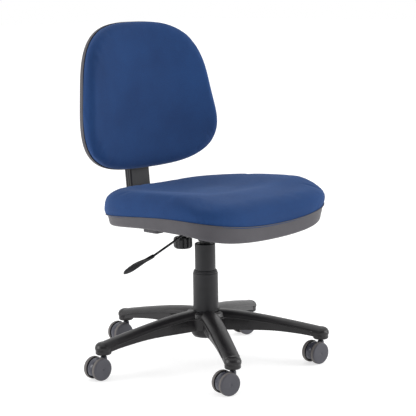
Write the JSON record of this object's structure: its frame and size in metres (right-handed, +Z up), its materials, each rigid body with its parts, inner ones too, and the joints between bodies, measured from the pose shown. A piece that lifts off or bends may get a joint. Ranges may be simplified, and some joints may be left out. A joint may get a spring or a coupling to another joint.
{
  "type": "swivel office chair",
  "caption": "Armless task chair with a blue fabric seat and back, bent-bar backrest, gas-lift column and a black star base on twin-wheel castors.",
  "frame": {"origin": "on the floor, on the axis of the gas column", "axes": "+Z up along the column; the sitter faces -Y; +X is the sitter's left"},
  "size_m": [0.6363, 0.5987, 0.8768],
  "materials": {
    "blue_fabric": "woven upholstery",
    "grey_shell": "fine moulded texture",
    "black_base": "satin moulded nylon",
    "black_cover": "satin moulded",
    "hood_plastic": "gloss",
    "wheel_plastic": "satin",
    "black_steel": "powder coat",
    "bright_steel": "zinc plated",
    "polished_steel": "ground",
    "white_acetal": "moulded",
    "plywood": "raw beech ply",
    "black_knob": "moulded"
  },
  "bodies": {
    "base": {"base_star": "black_base", "hub_sleeve": "bright_steel", "castor_sleeves": "bright_steel", "column_tube": "black_steel", "guide_bush": "white_acetal", "lower_cover": "black_cover", "cover_ring": "black_cover"},
    "lift_rod": {"piston_rod": "polished_steel", "piston": "bright_steel", "thrust_bearing": "bright_steel", "retaining_clip": "bright_steel"},
    "seat": {"gas_cylinder": "polished_steel", "upper_cover": "black_cover", "mechanism_housing": "black_steel", "lever_pin": "bright_steel", "tilt_pin": "bright_steel", "tilt_springs": "bright_steel", "seat_shell": "grey_shell", "seat_board": "plywood", "seat_tee_nuts": "bright_steel", "seat_bolts": "bright_steel", "arm_inserts": "bright_steel", "seat_cushion": "blue_fabric"},
    "valve_pin": {"release_pin": "bright_steel"},
    "height_lever": {"lever_rod": "black_steel", "lever_hub": "black_knob", "lever_paddle": "black_knob"},
    "back_carrier": {"back_carrier": "black_steel"},
    "clamp_knob": {"knob_grip": "black_knob", "knob_screw": "bright_steel"},
    "back_upright": {"upright_bar": "black_steel", "upright_cover": "black_cover", "ratchet_strip": "white_acetal"},
    "backrest": {"back_shell": "grey_shell", "back_board": "plywood", "back_screws": "bright_steel", "height_guide": "white_acetal", "height_pawl": "bright_steel", "back_cushion": "blue_fabric"},
    "castor_1": {"castor_1_hood": "hood_plastic", "castor_1_pins": "bright_steel"},
    "castor_1_wheel_a": {"castor_1_wheel_a": "wheel_plastic"},
    "castor_1_wheel_b": {"castor_1_wheel_b": "wheel_plastic"},
    "castor_2": {"castor_2_hood": "hood_plastic", "castor_2_pins": "bright_steel"},
    "castor_2_wheel_a": {"castor_2_wheel_a": "wheel_plastic"},
    "castor_2_wheel_b": {"castor_2_wheel_b": "wheel_plastic"},
    "castor_3": {"castor_3_hood": "hood_plastic", "castor_3_pins": "bright_steel"},
    "castor_3_wheel_a": {"castor_3_wheel_a": "wheel_plastic"},
    "castor_3_wheel_b": {"castor_3_wheel_b": "wheel_plastic"},
    "castor_4": {"castor_4_hood": "hood_plastic", "castor_4_pins": "bright_steel"},
    "castor_4_wheel_a": {"castor_4_wheel_a": "wheel_plastic"},
    "castor_4_wheel_b": {"castor_4_wheel_b": "wheel_plastic"},
    "castor_5": {"castor_5_hood": "hood_plastic", "castor_5_pins": "bright_steel"},
    "castor_5_wheel_a": {"castor_5_wheel_a": "wheel_plastic"},
    "castor_5_wheel_b": {"castor_5_wheel_b": "wheel_plastic"}
  },
  "joints": [
    {"name": "seat_swivel", "type": "hinge", "parent": "base", "child": "lift_rod", "pos_m": [0, 0, 0.087], "axis": [0, 0, 1], "continuous": true},
    {"name": "seat_height", "type": "slide", "parent": "lift_rod", "child": "seat", "axis": [0, 0, 1], "range_m": [-0.055, 0.04]},
    {"name": "lever_lift", "type": "hinge", "parent": "seat", "child": "height_lever", "pos_m": [-0.034, 0, 0.3455], "axis": [0, 1, 0], "range_deg": [0, 5], "stiffness_Nm_per_rad": 1.2, "springref_deg": -20.05},
    {"name": "valve_press", "type": "slide", "parent": "seat", "child": "valve_pin", "axis": [0, 0, -1], "range_m": [0, 0.003]},
    {"name": "back_angle", "type": "hinge", "parent": "seat", "child": "back_carrier", "pos_m": [0, 0.045, 0.342], "axis": [-1, 0, 0], "range_deg": [0, 10], "stiffness_Nm_per_rad": 150, "springref_deg": -6.88},
    {"name": "knob_turn", "type": "hinge", "parent": "back_carrier", "child": "clamp_knob", "pos_m": [0, 0.082, 0.307], "axis": [0, 0, -1], "range_deg": [0, 360]},
    {"name": "back_depth", "type": "slide", "parent": "back_carrier", "child": "back_upright", "axis": [0, 1, 0], "range_m": [0, 0.045]},
    {"name": "back_height", "type": "slide", "parent": "back_upright", "child": "backrest", "axis": [0, 0.0958, 0.9954], "range_m": [0, 0.05]},
    {"name": "castor_1_swivel", "type": "hinge", "parent": "base", "child": "castor_1", "pos_m": [0.27793, 0.10752, 0.067], "axis": [0, 0, 1], "continuous": true},
    {"name": "castor_1_wheel_a_roll", "type": "hinge", "parent": "castor_1", "child": "castor_1_wheel_a", "pos_m": [0.25808, 0.10996, 0.0285], "axis": [-0.1219, -0.9925, 0], "continuous": true},
    {"name": "castor_1_wheel_b_roll", "type": "hinge", "parent": "castor_1", "child": "castor_1_wheel_b", "pos_m": [0.25808, 0.10996, 0.0285], "axis": [-0.1219, -0.9925, 0], "continuous": true},
    {"name": "castor_2_swivel", "type": "hinge", "parent": "base", "child": "castor_2", "pos_m": [-0.01638, 0.29755, 0.067], "axis": [0, 0, 1], "continuous": true},
    {"name": "castor_2_wheel_a_roll", "type": "hinge", "parent": "castor_2", "child": "castor_2_wheel_a", "pos_m": [-0.03623, 0.29999, 0.0285], "axis": [-0.1219, -0.9925, 0], "continuous": true},
    {"name": "castor_2_wheel_b_roll", "type": "hinge", "parent": "castor_2", "child": "castor_2_wheel_b", "pos_m": [-0.03623, 0.29999, 0.0285], "axis": [-0.1219, -0.9925, 0], "continuous": true},
    {"name": "castor_3_swivel", "type": "hinge", "parent": "base", "child": "castor_3", "pos_m": [-0.28805, 0.07637, 0.067], "axis": [0, 0, 1], "continuous": true},
    {"name": "castor_3_wheel_a_roll", "type": "hinge", "parent": "castor_3", "child": "castor_3_wheel_a", "pos_m": [-0.30804, 0.07672, 0.0285], "axis": [-0.0175, -0.9998, 0], "continuous": true},
    {"name": "castor_3_wheel_b_roll", "type": "hinge", "parent": "castor_3", "child": "castor_3_wheel_b", "pos_m": [-0.30804, 0.07672, 0.0285], "axis": [-0.0175, -0.9998, 0], "continuous": true},
    {"name": "castor_4_swivel", "type": "hinge", "parent": "base", "child": "castor_4", "pos_m": [-0.16165, -0.25035, 0.067], "axis": [0, 0, 1], "continuous": true},
    {"name": "castor_4_wheel_a_roll", "type": "hinge", "parent": "castor_4", "child": "castor_4_wheel_a", "pos_m": [-0.18113, -0.24585, 0.0285], "axis": [-0.225, -0.9744, 0], "continuous": true},
    {"name": "castor_4_wheel_b_roll", "type": "hinge", "parent": "castor_4", "child": "castor_4_wheel_b", "pos_m": [-0.18113, -0.24585, 0.0285], "axis": [-0.225, -0.9744, 0], "continuous": true},
    {"name": "castor_5_swivel", "type": "hinge", "parent": "base", "child": "castor_5", "pos_m": [0.18814, -0.2311, 0.067], "axis": [0, 0, 1], "continuous": true},
    {"name": "castor_5_wheel_a_roll", "type": "hinge", "parent": "castor_5", "child": "castor_5_wheel_a", "pos_m": [0.16822, -0.22936, 0.0285], "axis": [-0.0872, -0.9962, 0], "continuous": true},
    {"name": "castor_5_wheel_b_roll", "type": "hinge", "parent": "castor_5", "child": "castor_5_wheel_b", "pos_m": [0.16822, -0.22936, 0.0285], "axis": [-0.0872, -0.9962, 0], "continuous": true}
  ],
  "couplings": [
    {"joint": "valve_press", "follows": "lever_lift", "m_per_rad": 0.034}
  ]
}
